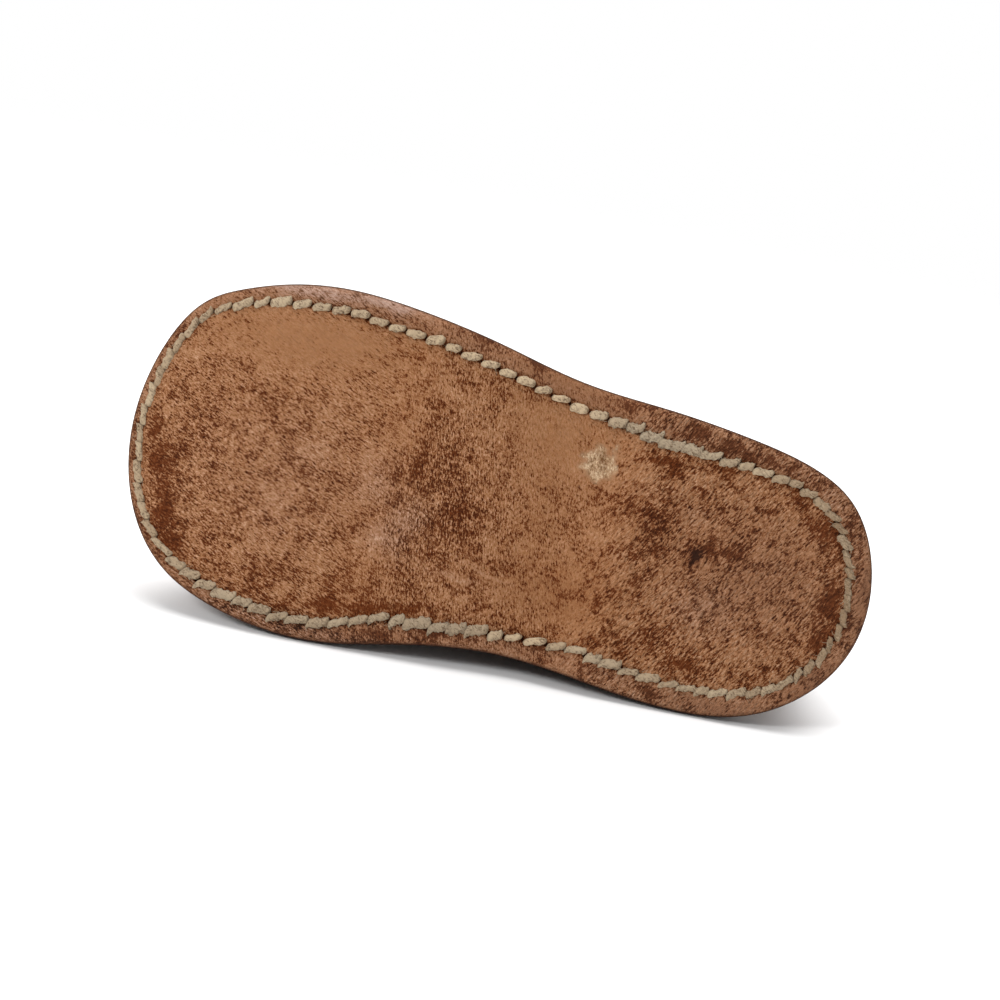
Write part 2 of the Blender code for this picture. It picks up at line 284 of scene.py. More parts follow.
# Patches of dark finish left on the sole, in mm and degrees
Finish = namedtuple("Finish", "x y long wide turn", defaults=(0,))
FINISH = (
    Finish(139, -2.5, 1.2, 2.5),
    Finish(137, -8.6, 2.2, 3),
    Finish(134.5, -13, 1.6, 2.2, -15),
    Finish(133, -17.5, 1.5, 2.2, -20),
    Finish(129.5, -22.5, 1.5, 2.4, -35),
    Finish(84.4, -22.5, 4.6, 0.9, -15),
    Finish(89, -24, 5.5, 1, -15),
    Finish(98.7, -26, 3.6, 1.2, -15),
    Finish(105.6, -28, 3, 1.2, -10),
    Finish(44.5, 17.8, 3.3, 1.1, -5),
    Finish(34.3, 18.7, 3.8, 0.9, -5),
    Finish(25.7, 19.4, 2.5, 0.8),
    Finish(18.4, 18, 2.5, 1.3, 25),
    Finish(12.2, 13, 4.2, 2.8, 45),
    Finish(7.6, 1, 2.3, 4.5),
    Finish(8, -7, 1.9, 2.8, -20),
    Finish(31, -18.6, 2.2, 1.2),
    Finish(40, 24, 3.2, 1.4),
    Finish(33.3, 23.5, 2.8, 1.4),
    Finish(29, 22.9, 1.6, 1.1),
    Finish(25, 22.8, 1.6, 1.2),
    Finish(21.4, 22.8, 1.6, 1.5),
    Finish(54, 26, 2.4, 1.1),
    Finish(72.8, 28.4, 2.1, 1.2, 15),
    Finish(83.2, 30, 1.6, 1.2, 15),
    Finish(87, -28.5, 2.8, 1.1, -12),
    Finish(76.8, -25.2, 3, 1.1, -8),
    Finish(35.2, -24.8, 1.4, 1.1),
    Finish(31.5, 3.9, 2, 1.2, -12),
    Finish(27.5, 4.9, 3.6, 0.9, -12),
)
SCAR = (56.2 * MM, 13.6 * MM)
SCAR_RADIUS = 3.4 * MM

# Flex creases over the vamp in mm: place on the ridge, sweep back towards the sides, width, depth and reach
Crease = namedtuple("Crease", "x sweep width depth reach")
CREASES = (
    Crease(91, 7, 2.6, 0.45, 22),
    Crease(97, 6, 2.2, 0.70, 25),
    Crease(103, 5, 2.2, 0.45, 21),
)

# Places of the upper that are rubbed pale, in mm
Rub = namedtuple("Rub", "x z long high strength")
RUBS = (Rub(142, 14, 14, 9, 1.0), Rub(0, 12, 8, 8, 0.6))

# Hollows trodden into the sock by heel and ball, in mm
Hollow = namedtuple("Hollow", "x long wide depth")
HOLLOWS = (Hollow(30, 20, 14, 0.35), Hollow(98, 16, 18, 0.30))


# Curves

def periodic_spline(knots, values):
    """Smooth closed curve through the values, one row for each knot in [0, 1)."""
    knots = np.array(knots, float)
    values = np.array(values, float)
    count = len(knots)
    steps = np.diff(np.append(knots, knots[0] + 1))
    system = np.zeros((count, count))
    right = np.zeros_like(values)
    for i in range(count):
        before = (i - 1) % count
        after = (i + 1) % count
        system[i, before] += steps[before]
        system[i, i] += 2 * (steps[before] + steps[i])
        system[i, after] += steps[i]
        slope_after = (values[after] - values[i]) / steps[i]
        slope_before = (values[i] - values[before]) / steps[before]
        right[i] = 6 * (slope_after - slope_before)
    bends = np.linalg.solve(system, right)

    def curve(turns):
        turns = np.mod(np.asarray(turns, float) - knots[0], 1) + knots[0]
        i = np.searchsorted(knots, turns, side="right") - 1
        after = (i + 1) % count
        step = steps[i][:, None]
        far = (turns - knots[i])[:, None]
        near = step - far
        bend = (bends[i] * near**3 + bends[after] * far**3) / (6 * step)
        line_near = (values[i] / step - bends[i] * step / 6) * near
        line_far = (values[after] / step - bends[after] * step / 6) * far
        return bend + line_near + line_far

    return curve


def turn_at(station):
    """Share of a turn round the outline, heel 0 and toe one half, of a station on the lateral side."""
    return math.acos(1 - 2 * station) / (2 * math.pi)


def closed_table(rows, lateral, medial):
    """Closed curve through a table whose first row is at the heel and last at the toe."""
    knots = [turn_at(row.station) for row in rows]
    values = [lateral(row) for row in rows]
    for row in reversed(rows[1:-1]):
        knots.append(1 - turn_at(row.station))
        values.append(medial(row))
    return periodic_spline(knots, values)


def outline_curve():
    """Half width of the sole over the sine of the turn, as a closed curve."""
    knots = [0]
    values = [[math.sqrt(HEEL_RADIUS * SOLE_LENGTH / 2)]]
    for row in WIDTHS:
        knots.append(turn_at(row.station))
        values.append([row.lateral * MM / math.sin(2 * math.pi * knots[-1])])
    knots.append(0.5)
    values.append([math.sqrt(TOE_RADIUS * SOLE_LENGTH / 2)])
    for row in reversed(WIDTHS):
        turn = turn_at(row.station)
        knots.append(1 - turn)
        values.append([row.medial * MM / math.sin(2 * math.pi * turn)])
    return periodic_spline(knots, values)


def section_values(row, collar_y):
    lengths = [row.border, row.rise, row.reach, row.collar_x, collar_y, row.collar_z]
    angles = [row.flare, row.slope]
    return [length * MM for length in lengths] + [math.radians(angle) for angle in angles]


OUTLINE = outline_curve()
SECTION_CURVE = closed_table(
    SECTIONS,
    lambda row: section_values(row, row.collar_lateral),
    lambda row: section_values(row, -row.collar_medial),
)
SEAM_CURVE = closed_table(
    SEAMS,
    lambda row: [row.lateral * MM, row.worn_lateral, row.frayed_lateral, row.soil_lateral],
    lambda row: [row.medial * MM, row.worn_medial, row.frayed_medial, row.soil_medial],
)


def outline_points(turns):
    angles = 2 * np.pi * turns
    x = SOLE_LENGTH * (1 - np.cos(angles)) / 2
    y = np.sin(angles) * OUTLINE(turns)[:, 0]
    return np.column_stack((x, y))


def outline_at(turns):
    """Points of the sole's outline and its outward normals."""
    points = outline_points(turns)
    small = 1 / OUTLINE_SAMPLES
    along = unit(outline_points(turns + small) - outline_points(turns - small))
    return points, np.column_stack((-along[:, 1], along[:, 0]))


def unit(vectors):
    return vectors / np.linalg.norm(vectors, axis=-1, keepdims=True)


def running_length(points):
    return np.append(0, np.cumsum(np.linalg.norm(np.diff(points, axis=0), axis=1)))


def even_turns(count):
    """Turns evenly spaced along the outline, the heel's middle half way between two of them."""
    fine = np.linspace(0, 1, OUTLINE_SAMPLES + 1)
    lengths = running_length(outline_points(fine))
    return np.interp((np.arange(count) + 0.5) / count * lengths[-1], lengths, fine)


def tread_height(x):
    """Height of the sole's lower face: toe spring, arch and a little lift at the back of the heel."""
    station = x / SOLE_LENGTH
    toe = np.clip((station - TREAD_FLAT[1]) / (1 - TREAD_FLAT[1]), 0, 1)
    arch = np.clip((station - HEEL_FLAT[1]) / (TREAD_FLAT[0] - HEEL_FLAT[1]), 0, 1)
    heel = np.clip((HEEL_FLAT[0] - station) / HEEL_FLAT[0], 0, 1)
    return TOE_SPRING * toe**2 + ARCH_LIFT * np.sin(np.pi * arch) ** 2 + HEEL_SPRING * heel**2


def level_ring(points, normals, inset, height):
    """Outline moved in by inset, at a height above the sole's lower face."""
    inset = np.broadcast_to(inset, len(points))
    plan = points - normals * inset[:, None]
    return np.column_stack((plan, tread_height(plan[:, 0]) + height))


def stitch_turns():
    """Turns at the starts and ends of the sole's stitches, which come closer together round the heel."""
    fine = np.linspace(0, 1, OUTLINE_SAMPLES + 1)
    points, normals = outline_at(fine)
    seam = points - normals * SEAM_CURVE(fine)[:, :1]
    crowding = 1 + HEEL_CROWDING * np.exp(-((seam[1:, 0] / HEEL_CROWDED) ** 2))
    lengths = np.append(0, np.cumsum(np.diff(running_length(seam)) * crowding))
    count = round(lengths[-1] / STITCH_PITCH)
    jitter = np.random.default_rng(40).uniform(-HOLE_JITTER, HOLE_JITTER, count + 1)
    jitter[[0, -1]] = 0
    holes = np.interp((np.arange(count + 1) + jitter) / count * lengths[-1], lengths, fine)
    return holes[:-1], holes[1:]


def ripples(x, y, waves):
    """Soft noise of about plus or minus the height: sine waves in random directions, summed."""
    dice = np.random.default_rng(waves.seed)
    total = np.zeros_like(x)
    for _ in range(24):
        angle = dice.uniform(0, 2 * np.pi)
        pitch = waves.size * dice.uniform(1.4, 3.2)
        phase = dice.uniform(0, 2 * np.pi)
        total += np.sin((x * np.cos(angle) + y * np.sin(angle)) * 2 * np.pi / pitch + phase)
    return waves.height * (total / 5)


def hump(first, second):
    """Soft hill of height 1 over two distances, each as a share of its size."""
    return np.exp(-(first**2) - second**2)


def soft_step(value, low, high):
    share = np.clip((value - low) / (high - low), 0, 1)
    return share * share * (3 - 2 * share)


# Meshes

def shoe_matrix():
    """Shoe frame to floor, from the places and the axis of the two tread mounts."""
    mounts = {mount["name"]: mount for mount in frame["record"]["mounts"]}
    heel = Vector(mounts["tread_heel"]["pos_m"])
    ball = Vector(mounts["tread_forefoot"]["pos_m"])
    up = -Vector(mounts["tread_heel"]["axis"]).normalized()
    toe = (ball - heel).normalized()
    lateral = up.cross(toe).normalized()
    matrix = Matrix((toe, lateral, up)).transposed().to_4x4()
    matrix.translation = heel - toe * HEEL_MOUNT * SOLE_LENGTH
    return matrix


SHOE = shoe_matrix()


def quads(index, wrap_rows=False, wrap_columns=False):
    """Faces of a grid of vertex numbers."""
    if wrap_rows:
        index = np.concatenate((index, index[:1]))
    if wrap_columns:
        index = np.concatenate((index, index[:, :1]), axis=1)
    corners = (index[:-1, :-1], index[:-1, 1:], index[1:, 1:], index[1:, :-1])
    return np.stack([corner.ravel() for corner in corners], axis=1)


def across(ring):
    """Faces that close a ring of vertex numbers by strips from side to side."""
    half = len(ring) // 2
    return quads(np.stack((ring[:half], ring[::-1][:half])))


def rows_of(ring, long, wide):
    """Heel, lateral, toe and medial sides of a ring that starts at the medial corner of the heel."""
    heel = ring[: wide + 1]
    lateral = ring[wide : wide + long + 1]
    toe = ring[wide + long : 2 * wide + long + 1][::-1]
    medial = np.concatenate((ring[2 * wide + long :], ring[:1]))[::-1]
    return heel, lateral, toe, medial


def fill_points(ring, long, wide):
    """Plan points inside a ring, as rows along the shoe that blend its four sides."""
    heel, lateral, toe, medial = rows_of(ring, long, wide)
    u = np.linspace(0, 1, long + 1)[:, None, None]
    v = np.linspace(0, 1, wide + 1)[None, :, None]
    sides = (1 - v) * medial[:, None] + v * lateral[:, None]
    ends = (1 - u) * heel[None] + u * toe[None]
    corners = (1 - u) * ((1 - v) * heel[0] + v * heel[-1]) + u * ((1 - v) * toe[0] + v * toe[-1])
    return (sides + ends - corners)[1:-1, 1:-1].reshape(-1, 2)


def fill_faces(ring, first, long, wide):
    """Faces of the rows inside a ring of vertex numbers, whose own numbers begin at first."""
    net = np.zeros((long + 1, wide + 1), int)
    net[1:-1, 1:-1] = first + np.arange((long - 1) * (wide - 1)).reshape(long - 1, wide - 1)
    net[0], net[:, -1], net[-1], net[:, 0] = rows_of(ring, long, wide)
    return quads(net)


def slab_faces(rows, long, wide, filled, closed):
    """Faces of a slab: between its rings, over the rows that fill one ring, and across another."""
    count = 2 * (long + wide)
    index = np.arange(rows * count).reshape(rows, count)
    fill = fill_faces(index[filled], index.size, long, wide)
    cap = across(np.roll(index[closed], -(wide // 2)))
    return np.concatenate((quads(index, wrap_columns=True), fill, cap))


def piece(name, points, faces, material, node=None, values=None):
    """Smooth mesh object laid down with the shoe and riding on it, with its places in the shoe kept."""
    laid = points @ np.array(SHOE.to_3x3()).T + np.array(SHOE.translation)
    data = bpy.data.meshes.new(name)
    data.from_pydata(laid.tolist(), [], faces.tolist())
    data.validate()
    shell = bmesh.new()
    shell.from_mesh(data)
    bmesh.ops.recalc_face_normals(shell, faces=shell.faces[:])
    shell.to_mesh(data)
    shell.free()
    data.polygons.foreach_set("use_smooth", np.ones(len(data.polygons), bool))
    place = data.attributes.new("place", "FLOAT_VECTOR", "POINT")
    place.data.foreach_set("vector", points.astype(np.float32).ravel())
    for key, value in (values or {}).items():
        layer = data.attributes.new(key, "FLOAT", "POINT")
        layer.data.foreach_set("value", np.ascontiguousarray(value, np.float32))
    data.materials.append(material)
    made = bpy.data.objects.new(name, data)
    bpy.context.collection.objects.link(made)
    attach(made, "root")
    if node:
        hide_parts(node)


def tube_piece(name, rings, material, node=None, values=None):
    """Closed tube skinned over closed rings."""
    rings = np.array(rings)
    rows, columns, _ = rings.shape
    index = np.arange(rows * columns).reshape(rows, columns)
    faces = quads(index, wrap_rows=True, wrap_columns=True)
    piece(name, rings.reshape(-1, 3), faces, material, node, values)


def rod_faces(count, rings, sides):
    """Faces of a number of closed rods, each a stack of rings."""
    index = np.arange(count * rings * sides).reshape(count, rings, sides)
    faces = []
    for block in index:
        faces.append(quads(block, wrap_columns=True))
        faces.append(across(block[0]))
        faces.append(across(block[-1]))
    return np.concatenate(faces)


def cord_girth(dice, angle, along, worn, frayed):
    """Girth of twisted plies as shares of their radius: lumpy, and rough where the cord is frayed."""
    phase = dice.uniform(0, 2 * np.pi, (3, 2, len(worn), 1, 1))
    groove = 1 - np.abs(np.cos(CORD_PLIES / 2 * (angle - CORD_SPIN * along) + phase[0, 0]))
    lumps = np.zeros((len(worn), CORD_RINGS, CORD_SIDES))
    for waves, (shift, spin) in zip((3, 6, 11), phase):
        lumps += np.sin(waves * along + shift) * np.cos(angle * (waves // 3) + spin)
    rough = dice.standard_normal(lumps.shape)
    lumps = (0.09 + 0.08 * frayed + 0.03 * worn)[:, :, None] * lumps
    lumps += 1 + (0.02 + 0.07 * frayed)[:, :, None] * rough
    return (1 - CORD_GROOVE * (1 - 0.5 * frayed)[:, :, None] * groove**2) * lumps


def stitch_piece(name, starts, ends, frame_at, material, cord, wear, seed):
    """One short twisted cord for each stitch, rising out of one hole and diving into the next."""
    dice = np.random.default_rng(seed)
    count = len(starts)
    worn, frayed, soil = (column[:, None] for column in wear)
    step = np.linspace(-1, 1, CORD_RINGS)[None, :]
    # Worn and frayed stitches run into each other, the others stop short of the next hole
    joined = np.clip(0.65 * worn + 0.85 * frayed**2, 0, 1)
    reach = dice.uniform(0.88, 1.0, (count, 1)) * (1 - joined) + 1.2 * joined
    turns = starts[:, None] + (ends - starts)[:, None] * (step * reach + 1) / 2
    # Slant across the seam, and a curl where the cord is frayed
    zigzag = np.clip(1 - 1.2 * worn + 2 * frayed, 0.2, 0.9)
    slant = cord.slant * zigzag * dice.uniform(0.4, 1.4, (count, 1))
    curl = cord.curl * (frayed + 0.4 * worn) * dice.uniform(0.2, 1.2, (count, 1))
    slide = slant * step - curl * np.clip(-step, 0, 1) ** 4
    slide += cord.slant * (0.3 + 0.3 * frayed) * dice.standard_normal((count, 1))
    centre, side, out = frame_at(turns.ravel(), slide.ravel())
    centre, side, out = (part.reshape(count, CORD_RINGS, 1, 3) for part in (centre, side, out))
    # Rounded ends that sink into the holes, and a girth that varies from stitch to stitch
    taper = np.sqrt(np.clip(1 - np.abs(step) ** (3.5 + 10 * joined), 0, 1)) + 0.02
    lift = cord.height * (0.28 - 0.42 * worn) - cord.sink * (1 - 0.9 * joined) * np.abs(step) ** 5
    angle = np.linspace(0, 2 * np.pi, CORD_SIDES, endpoint=False)[None, None, :]
    girth = taper[:, :, None] * cord_girth(dice, angle, step[:, :, None], worn, frayed)
    wide = cord.width / 2 * dice.uniform(0.8, 1.15, (count, 1)) * (1 + 0.15 * frayed - 0.18 * worn)
    tall = cord.height / 2 * dice.uniform(0.9, 1.1, (count, 1)) * (1 - 0.35 * worn)
    sideways = wide[:, :, None] * girth * np.cos(angle)
    upwards = tall[:, :, None] * girth * np.sin(angle) + lift[:, :, None]
    points = centre + side * sideways[..., None] + out * upwards[..., None]
    soil = np.clip(soil + 0.15 * dice.standard_normal((count, 1)), 0, 1)
    values = {
        "grey": np.broadcast_to(frayed[:, :, None], girth.shape).ravel(),
        "soil": np.broadcast_to(soil[:, :, None], girth.shape).ravel(),
    }
    faces = rod_faces(count, CORD_RINGS, CORD_SIDES)
    piece(name, points.reshape(-1, 3), faces, material, values=values)


# Sole

def mark_weight(x, y, mark):
    """How strongly a mark shows at plan points: 1 in its middle, fading out past its size."""
    angle = math.radians(mark.turn)
    along = x - mark.x * MM
    aside = y - mark.y * MM
    far = (along * math.cos(angle) + aside * math.sin(angle)) / (mark.long * MM)
    off = (aside * math.cos(angle) - along * math.sin(angle)) / (mark.wide * MM)
    return hump(far, off)


def sole_marks(x, y):
    """Kept finish, contrast, grey and tone of the sole's face at plan points, one row each."""
    x = x + ripples(x, y, MARK_WAVES[0])
    y = y + ripples(x, y, MARK_WAVES[1])
    marks = np.outer(PLAIN, np.ones_like(x))
    for wear in WEAR:
        change = Face(wear.kept, wear.rough, wear.grey, wear.tone)
        marks += np.outer(change, mark_weight(x, y, wear))
    patches = [mark_weight(x, y, mark) for mark in FINISH]
    return marks + np.outer(PATCH, np.max(patches, axis=0))


def sole_relief(x, y, offset):
    """Depth of wear, stitch channel and holes in the plain tread, and the masks they leave."""
    starts, _ = stitch_turns()
    points, normals = outline_at(starts)
    holes = points - normals * SEAM_CURVE(starts)[:, :1]
    channel = np.exp(-((offset / CHANNEL_WIDTH) ** 2))
    away = np.full_like(x, 1.0)
    near = np.abs(offset) < 4 * HOLE_RADIUS
    away[near] = np.hypot(x[near][:, None] - holes[:, 0], y[near][:, None] - holes[:, 1]).min(axis=1)
    hole = np.exp(-((away / HOLE_RADIUS) ** 2))
    scar_far = np.hypot(x - SCAR[0], y - SCAR[1]) / SCAR_RADIUS
    scar = 1 - soft_step(scar_far * (1 + ripples(x, y, SCAR_OUTLINE)), 0.6, 1.15)
    depth = CHANNEL_DEPTH * channel + HOLE_DEPTH * hole
    depth += ripples(x, y, BROAD_WEAR) + ripples(x, y, FINE_WEAR)
    depth += scar * (SCAR_DEPTH + ripples(x, y, SCAR_WAVES))
    return depth, channel, hole, scar


def sole_rows():
    """Distance from the edge and height of the sole's rings, from inside the tread round to its top."""
    rows = [(inset, 0.0) for inset in np.arange(SOLE_RING_DEPTH, LOWER_EDGE_ROUND, -SOLE_RING_STEP)]
    for angle in np.radians(np.linspace(0, 90, 7)):
        rows.append((LOWER_EDGE_ROUND * (1 - math.sin(angle)), LOWER_EDGE_ROUND * (1 - math.cos(angle))))
    side = SOLE_THICKNESS - LOWER_EDGE_ROUND - UPPER_EDGE_ROUND
    for share in (0.35, 0.7):
        rows.append((0.0, LOWER_EDGE_ROUND + share * side))
    for angle in np.radians((0, 30, 60, 90)):
        height = SOLE_THICKNESS - UPPER_EDGE_ROUND * (1 - math.sin(angle))
        rows.append((UPPER_EDGE_ROUND * (1 - math.cos(angle)), height))
    return np.array(rows).T


def sole_piece(material):
    count = 2 * (SOLE_LONG + SOLE_WIDE)
    turns = np.roll(even_turns(count), SOLE_WIDE // 2)
    points, normals = outline_at(turns)
    insets, heights = sole_rows()
    rings = np.array([level_ring(points, normals, inset, height) for inset, height in zip(insets, heights)])
    plan = fill_points(rings[0][:, :2], SOLE_LONG, SOLE_WIDE)
    inner = np.column_stack((plan, tread_height(plan[:, 0])))
    surface = np.concatenate((rings.reshape(-1, 3), inner))
    x, y = surface[:, 0], surface[:, 1]

    def spread(row_values):
        return np.append(np.repeat(row_values, count), np.full(len(inner), row_values[0]))

    seam_inset = np.append(np.tile(SEAM_CURVE(turns)[:, 0], len(insets)), np.zeros(len(inner)))
    offset = spread(insets) - seam_inset
    depth, channel, hole, scar = sole_relief(x, y, offset)
    border = 1 - soft_step(offset, -1.5 * MM, 0.5 * MM)
    marks = sole_marks(x, y)
    for change, weight in ((BORDER, border), (CHANNEL, channel), (HOLE, hole)):
        marks += np.outer(change, weight)
    # Painted shade: the sole's rounded side edge, from a little above the tread up, is darkened as if it lay
    # in shadow
    edge = soft_step(spread(heights), 0.2 * MM, 0.9 * MM)
    surface[:, 2] += depth * (1 - soft_step(spread(heights), 0.05 * MM, 0.5 * MM))
    values = dict(zip(Face._fields, marks))
    values.update(scar=scar, edge=edge)
    faces = slab_faces(len(insets), SOLE_LONG, SOLE_WIDE, 0, -1)
    piece("sole", surface, faces, material, "outsole", values)


def seam_frame(turns, slide, share, height, out):
    """Middle of the cord seam with its outward direction and the way out of the face."""
    points, normals = outline_at(turns)
    centre = level_ring(points, normals, SEAM_CURVE(turns)[:, 0] * share + slide, height)
    side = np.column_stack((normals, np.zeros(len(turns))))
    return centre, side, np.broadcast_to(out, centre.shape)


def sole_frame(turns, slide):
    return seam_frame(turns, slide, 1.0, CHANNEL_DEPTH * CORD_SEAT, -UP)


def seam_wear(turns):
    """How worn, how frayed and how soiled the sole's stitch is."""
    return np.clip(SEAM_CURVE(turns)[:, 1:].T, 0, 1)


def sole_stitch(material):
    starts, ends = stitch_turns()
    wear = seam_wear((starts + ends) / 2)
    stitch_piece("sole_stitch", starts, ends, sole_frame, material, SOLE_CORD, wear, 41)


def sole_fibres(material):
    """Loose ends standing off the frayed lengths of the sole's stitch."""
    dice = np.random.default_rng(45)
    starts, ends = stitch_turns()
    _, frayed, _ = seam_wear((starts + ends) / 2)
    stitch = np.repeat(np.arange(len(starts)), np.round(FIBRES_PER_STITCH * frayed).astype(int))
    count = len(stitch)
    turns = starts[stitch] + (ends - starts)[stitch] * dice.uniform(0, 1, count)
    centre, side, out = sole_frame(turns, FIBRE_SPREAD * SOLE_CORD.width * dice.uniform(-1, 1, count))
    ahead = np.cross(out, side)
    heading = dice.uniform(0, 2 * np.pi, count)[:, None]
    way = side * np.sin(heading) + ahead * np.cos(heading)
    bend = np.cross(way, out) * dice.uniform(-0.5, 0.5, (count, 1))
    reach = dice.uniform(*FIBRE_LENGTHS, (count, 1, 1))
    step = np.linspace(0, 1, FIBRE_RINGS)[None, :, None]
    rise = FIBRE_SPREAD * SOLE_CORD.height * (1 - step**2) + FIBRE_LIFT
    path = centre[:, None] + reach * (way[:, None] * step + bend[:, None] * step**2) + out[:, None] * rise
    angle = np.linspace(0, 2 * np.pi, FIBRE_SIDES, endpoint=False)[None, None, :, None]
    radius = (FIBRE_WIDTH / 2 * (1 - 0.7 * step))[..., None]
    across_way = np.cross(way, out)[:, None, None]
    points = path[:, :, None] + radius * (np.cos(angle) * across_way + np.sin(angle) * out[:, None, None])
    shade = {"grey": np.ones(points[..., 0].size), "soil": np.zeros(points[..., 0].size)}
    faces = rod_faces(count, FIBRE_RINGS, FIBRE_SIDES)
    piece("sole_fibres", points.reshape(-1, 3), faces, material, values=shade)


# Upper

def wall_paths(turns, lengths_wanted):
    """Points up the wall's outer face at the wanted lengths from its foot, one column for each turn."""
    points, normals = outline_at(turns)
    border, rise, reach, collar_x, collar_y, collar_z, flare, slope = SECTION_CURVE(turns).T
    out = np.column_stack((normals, np.zeros(len(turns))))
    foot = level_ring(points, normals, border, SOLE_THICKNESS + GAP + WALL + FLANGE_FILLET)
    collar = np.column_stack((collar_x, collar_y, collar_z))
    away = unit((foot - collar) * [1, 1, 0])
    foot_pull = foot + rise[:, None] * (UP * np.cos(flare)[:, None] + out * np.sin(flare)[:, None])
    collar_pull = collar + reach[:, None] * (away * np.cos(slope)[:, None] - UP * np.sin(slope)[:, None])
    share = np.linspace(0, 1, PATH_SAMPLES)[:, None]
    walls = []
    for i in range(len(turns)):
        path = (
            foot[i] * (1 - share) ** 3
            + foot_pull[i] * 3 * share * (1 - share) ** 2
            + collar_pull[i] * 3 * share**2 * (1 - share)
            + collar[i] * share**3
        )
        lengths = running_length(path)
        wanted = lengths_wanted(lengths[-1])
        walls.append(np.column_stack([np.interp(wanted, lengths, path[:, axis]) for axis in range(3)]))
    return np.array(walls).transpose(1, 0, 2)


def flange_rows(turns):
    """Top of the flange from its edge to the fillet, then up the fillet."""
    points, normals = outline_at(turns)
    border = SECTION_CURVE(turns)[:, 0]
    top = SOLE_THICKNESS + GAP + WALL
    rows = []
    for share in np.linspace(0, 1, 6)[:-1]:
        inset = FLANGE_INSET + share * (border - FLANGE_FILLET - FLANGE_INSET)
        rows.append(level_ring(points, normals, inset, top))
    for angle in np.radians(np.linspace(0, 90, 7))[:-1]:
        inset = border - FLANGE_FILLET * (1 - math.sin(angle))
        rows.append(level_ring(points, normals, inset, top + FLANGE_FILLET * (1 - math.cos(angle))))
    return np.array(rows)


def surface_frames(grid, wrap=True):
    """Unit normals out of a grid of rows up the upper, and unit directions up the rows."""
    if wrap:
        round_way = np.roll(grid, -1, axis=1) - np.roll(grid, 1, axis=1)
    else:
        round_way = np.gradient(grid, axis=1)
    up_way = unit(np.gradient(grid, axis=0))
    return unit(np.cross(up_way, round_way)), up_way


def crease_depth(points):
    """Soft troughs over the vamp with low ridges between them."""
    x, y, z = points[..., 0], points[..., 1], points[..., 2]
    depth = np.zeros_like(x)
    top = soft_step(z, *CREASE_RISE)
    for crease in CREASES:
        reach = crease.reach * MM
        line = crease.x * MM - crease.sweep * MM * (y / reach) ** 2 + ripples(y, z, CREASE_WAVES)
        off = (x - line) / (crease.width * MM)
        ridges = np.exp(-((np.abs(off) - CREASE_RIDGE_AT) ** 2))
        trough = np.exp(-(off**2)) - CREASE_RIDGE * ridges
        depth += crease.depth * MM * np.exp(-((y / reach) ** 4)) * top * trough
    return depth


def upper_pieces(leather, lining):
    turns = even_turns(UPPER_POINTS)
    wall = wall_paths(turns, lambda total: np.linspace(0, total, WALL_STEPS + 1))
    grid = np.concatenate((flange_rows(turns), wall))
    normals, _ = surface_frames(grid)
    foot = len(grid) - len(wall)
    x, y, z = grid[..., 0], grid[..., 1], grid[..., 2]
    soft = ripples(x + z, y - z, UPPER_WAVES)
    fade = soft_step(np.arange(len(grid)), foot, foot + 8)[:, None]
    crease = crease_depth(grid) * fade
    outer = grid + normals * (soft * fade - crease)[..., None]
    inner = wall - LEATHER * normals[foot:]
    under = grid[:foot] - WALL * normals[:foot]
    rings = np.concatenate((outer, inner[::-1], under[::-1]))
    rubbed = np.zeros_like(x)
    for rub in RUBS:
        far = (x - rub.x * MM) / (rub.long * MM)
        rubbed += rub.strength * hump(far, (z - rub.z * MM) / (rub.high * MM))
    plain = np.zeros(outer[..., 0].size)
    values = {
        # Depth of the creases, which the leather's colour uses as painted shade
        "crease": np.append(crease.ravel() / MM, plain),
        "rub": np.append(rubbed.ravel(), plain),
    }
    tube_piece("upper_leather", rings, leather, "upper", values)
    near = wall - (LEATHER + LINING_GAP) * normals[foot:]
    far = wall - WALL * normals[foot:]
    tube_piece("lining", np.concatenate((near[::2], far[::2][::-1])), lining)


def collar_binding(material):
    """Strip folded over the collar: up its outer face, over its edge, down inside and back along the wall."""
    turns = even_turns(UPPER_POINTS)
    wall = wall_paths(turns, lambda total: total - BINDING_DEPTH * np.linspace(1, 0, BINDING_STEPS))
    normals, up_way = surface_frames(wall)
    pucker = np.sin(2 * np.pi * PUCKERS * turns) * ripples(turns, turns, PUCKER_WAVES)
    proud = (GAP + BINDING_THICKNESS + pucker)[:, None]
    outer_radius = WALL / 2 + GAP + BINDING_THICKNESS
    inner_radius = WALL / 2 + GAP

    def over(radius, angles):
        for angle in np.radians(angles):
            out = radius * math.cos(angle) - WALL / 2
            yield wall[-1] + out * normals[-1] + radius * math.sin(angle) * up_way[-1]

    turned_in = BINDING_TURN_IN * np.exp(-((np.arange(BINDING_STEPS) / 0.8) ** 2))
    rings = list(wall + (proud - turned_in[:, None, None]) * normals)
    rings.extend(over(outer_radius, np.linspace(15, 165, 11)))
    rings.extend((wall - (WALL + GAP + BINDING_THICKNESS) * normals)[::-1])
    rings.extend(wall - (WALL + GAP) * normals)
    rings.extend(over(inner_radius, np.linspace(150, 30, 5)))
    rings.extend((wall + GAP * normals)[::-1])
    tube_piece("binding", rings, material, "collar_binding")


def stay_turns(share):
    """Turn at a share of the back stay's half width, from the heel's middle."""
    return share * STAY_HALF_WIDTH / (2 * math.pi * OUTLINE([0.0])[0, 0])


